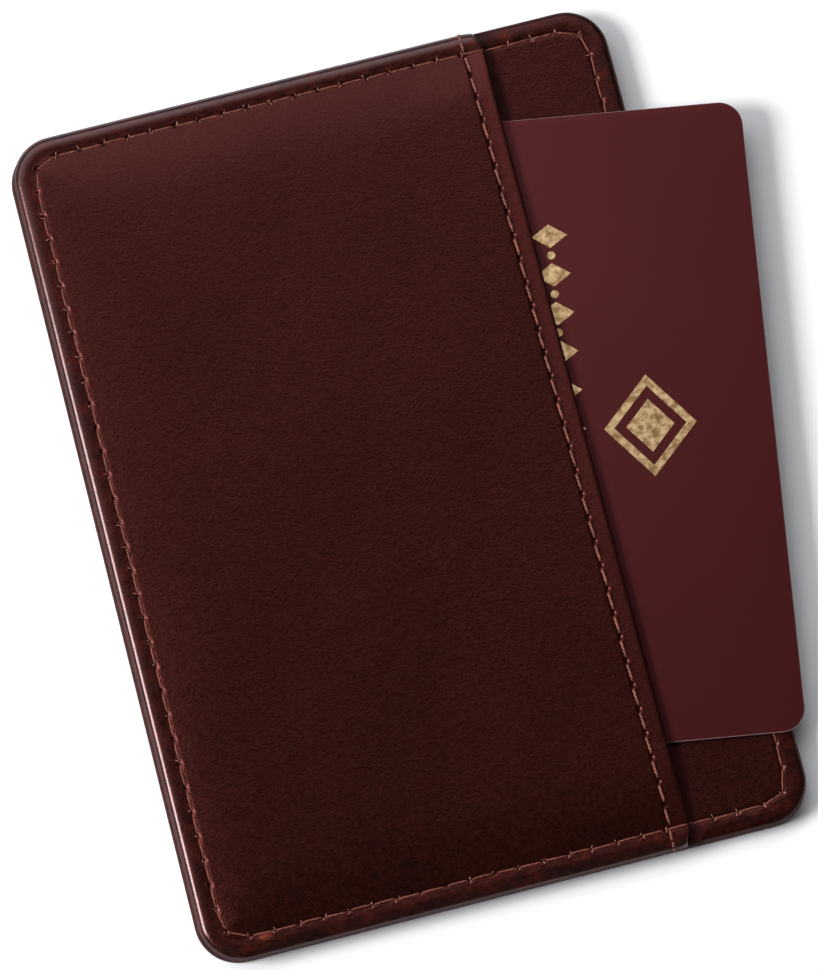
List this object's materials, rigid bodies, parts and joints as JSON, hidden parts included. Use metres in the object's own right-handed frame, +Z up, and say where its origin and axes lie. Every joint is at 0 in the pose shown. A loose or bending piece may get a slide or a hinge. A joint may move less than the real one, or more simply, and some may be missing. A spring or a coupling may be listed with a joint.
{
  "type": "card case",
  "caption": "Flat rectangular turned-edge leather card case with one front pocket, and a plastic card that slides in and out of the pocket's long mouth.",
  "frame": {"origin": "centre of the case's flat back face, which it rests on", "axes": "+X across the short side, out of the pocket's mouth; +Y along the long side; +Z up, out of the front"},
  "size_m": [0.0977, 0.114, 0.0061],
  "materials": {
    "case_leather": "polished",
    "board": "matt",
    "lining": "satin",
    "thread": "waxed polyester thread",
    "card": "satin print",
    "foil": "hot-stamped foil"
  },
  "bodies": {
    "case": {"back_leather": "case_leather", "back_board": "board", "centre_filler": "board", "front_board": "board", "base_leather": "case_leather", "pocket_lining": "lining", "mouth_strip": "board", "pocket_leather": "case_leather", "front_stitches": "thread", "back_stitches": "thread", "mouth_stitches": "thread", "hem_under_stitches": "thread"},
    "card": {"card_blank": "card", "foil_emblem": "foil", "foil_border": "foil"}
  },
  "joints": [
    {"name": "card_slide", "type": "slide", "parent": "case", "child": "card", "axis": [1, 0, 0], "range_m": [-0.024, 0.036]}
  ]
}
